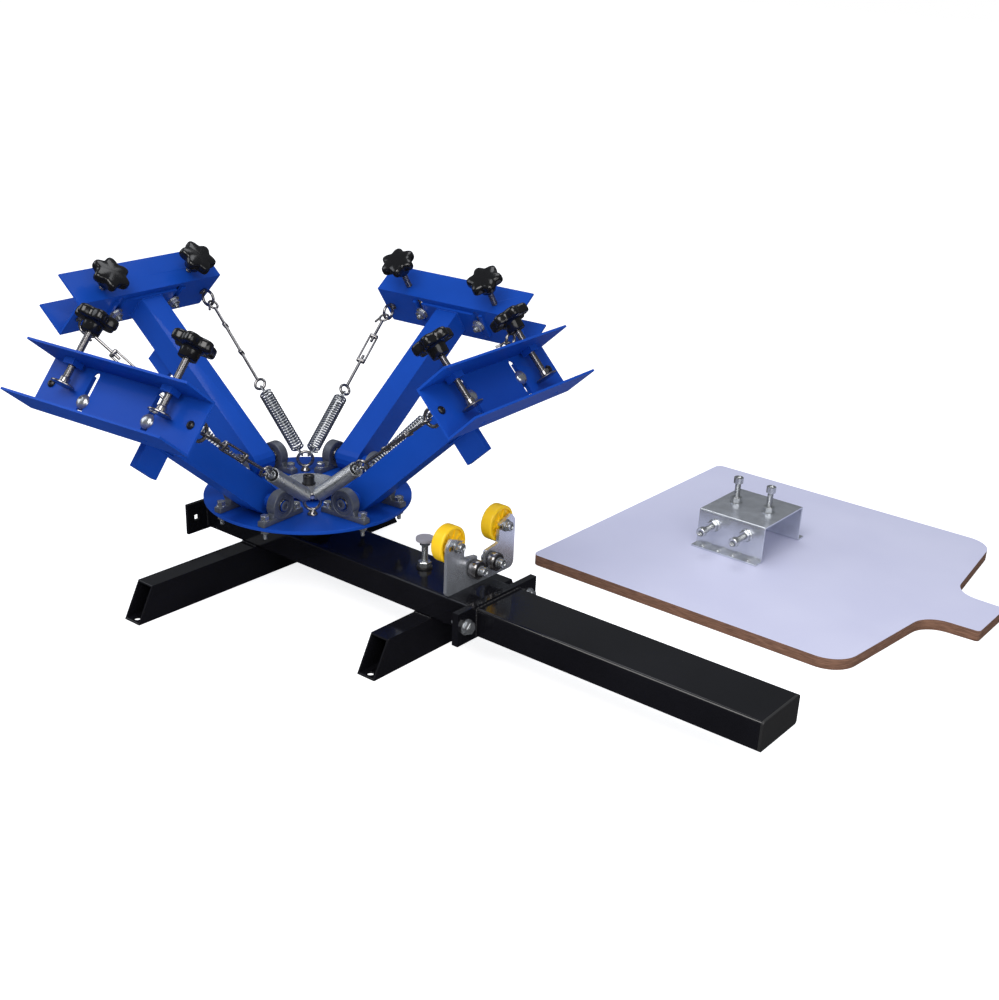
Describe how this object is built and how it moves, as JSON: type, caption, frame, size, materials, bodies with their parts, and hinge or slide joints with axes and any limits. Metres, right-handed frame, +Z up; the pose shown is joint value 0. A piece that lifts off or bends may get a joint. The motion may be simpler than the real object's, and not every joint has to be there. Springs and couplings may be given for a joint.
{
  "type": "screen printing machine",
  "caption": "Tabletop screen printing machine: beam on feet, turntable with sprung swing arms and screw-down frame clamps, registration gate, and a loose print board with bracket.",
  "frame": {"origin": "centre of the rear foot's underside, on the beam's centre line, on the surface the machine stands on", "axes": "+X along the beam to its free end, +Y across the beam towards the loose board, +Z up"},
  "size_m": [1.2438, 1.2746, 0.4636],
  "materials": {
    "black_coat": "gloss",
    "blue_coat": "satin",
    "black_plastic": "satin",
    "zinc_plate": "satin",
    "grey_casting": "satin",
    "bearing_steel": "polished",
    "knob_plastic": "gloss",
    "yellow_plastic": "satin",
    "grey_rubber": "matte",
    "laminated_board": "satin",
    "bright_steel": "polished"
  },
  "bodies": {
    "base": {"rear_beam": "black_coat", "front_beam": "black_coat", "end_cap": "black_plastic", "joint_bolts": "bright_steel", "rear_foot": "black_coat", "front_foot": "black_coat", "turntable_post": "black_coat", "gate_plate": "zinc_plate", "gate_bolts": "bright_steel", "stop_screw": "bright_steel", "stop_pad": "grey_rubber", "print_board": "laminated_board", "board_bracket": "zinc_plate", "bracket_bolts": "bright_steel"},
    "turntable": {"turntable_sleeve": "blue_coat", "turntable_disc": "blue_coat", "hub_cap": "zinc_plate", "pillow_blocks": "grey_casting", "bearing_inserts": "bearing_steel", "disc_ring_bolts": "bright_steel"},
    "arm1": {"arm1": "blue_coat", "arm1_clamp": "blue_coat", "arm1_eye_bolts": "bright_steel", "arm1_knobs": "knob_plastic", "arm1_clamp_screws": "bright_steel", "arm1_springs": "bright_steel"},
    "arm2": {"arm2": "blue_coat", "arm2_clamp": "blue_coat", "arm2_eye_bolts": "bright_steel", "arm2_knobs": "knob_plastic", "arm2_clamp_screws": "bright_steel", "arm2_springs": "bright_steel"},
    "arm3": {"arm3": "blue_coat", "arm3_clamp": "blue_coat", "arm3_eye_bolts": "bright_steel", "arm3_knobs": "knob_plastic", "arm3_clamp_screws": "bright_steel", "arm3_springs": "bright_steel"},
    "arm4": {"arm4": "blue_coat", "arm4_clamp": "blue_coat", "arm4_eye_bolts": "bright_steel", "arm4_knobs": "knob_plastic", "arm4_clamp_screws": "bright_steel", "arm4_springs": "bright_steel"},
    "guide_near": {"guide_roller_near": "yellow_plastic"},
    "guide_far": {"guide_roller_far": "yellow_plastic"},
    "bearing_near": {"gate_bearing_near": "bearing_steel"},
    "bearing_far": {"gate_bearing_far": "bearing_steel"}
  },
  "joints": [
    {"name": "turntable_spin", "type": "hinge", "parent": "base", "child": "turntable", "pos_m": [0.081, 0, 0.1457], "axis": [0, 0, 1], "continuous": true},
    {"name": "arm1_lift", "type": "hinge", "parent": "turntable", "child": "arm1", "pos_m": [0.18429, 0.00795, 0.1677], "axis": [0.0767, -0.9971, 0], "range_deg": [-43, 15], "stiffness_Nm_per_rad": 8, "springref_deg": 37.82, "deforming": ["arm1_springs"]},
    {"name": "arm2_lift", "type": "hinge", "parent": "turntable", "child": "arm2", "pos_m": [0.07305, 0.10329, 0.1677], "axis": [0.9971, 0.0767, 0], "range_deg": [-36, 15], "stiffness_Nm_per_rad": 8, "springref_deg": 41.25, "deforming": ["arm2_springs"]},
    {"name": "arm3_lift", "type": "hinge", "parent": "turntable", "child": "arm3", "pos_m": [-0.02229, -0.00795, 0.1677], "axis": [-0.0767, 0.9971, 0], "range_deg": [-42.5, 15], "stiffness_Nm_per_rad": 8, "springref_deg": 37.82, "deforming": ["arm3_springs"]},
    {"name": "arm4_lift", "type": "hinge", "parent": "turntable", "child": "arm4", "pos_m": [0.08895, -0.10329, 0.1677], "axis": [-0.9971, -0.0767, 0], "range_deg": [-40, 15], "stiffness_Nm_per_rad": 8, "springref_deg": 39.53, "deforming": ["arm4_springs"]},
    {"name": "guide_near_spin", "type": "hinge", "parent": "base", "child": "guide_near", "pos_m": [0.3725, -0.02715, 0.161], "axis": [1, 0, 0], "continuous": true},
    {"name": "guide_far_spin", "type": "hinge", "parent": "base", "child": "guide_far", "pos_m": [0.3725, 0.07585, 0.161], "axis": [1, 0, 0], "continuous": true},
    {"name": "bearing_near_spin", "type": "hinge", "parent": "base", "child": "bearing_near", "pos_m": [0.3978, 0.00525, 0.12], "axis": [1, 0, 0], "continuous": true},
    {"name": "bearing_far_spin", "type": "hinge", "parent": "base", "child": "bearing_far", "pos_m": [0.3978, 0.04345, 0.12], "axis": [1, 0, 0], "continuous": true}
  ]
}
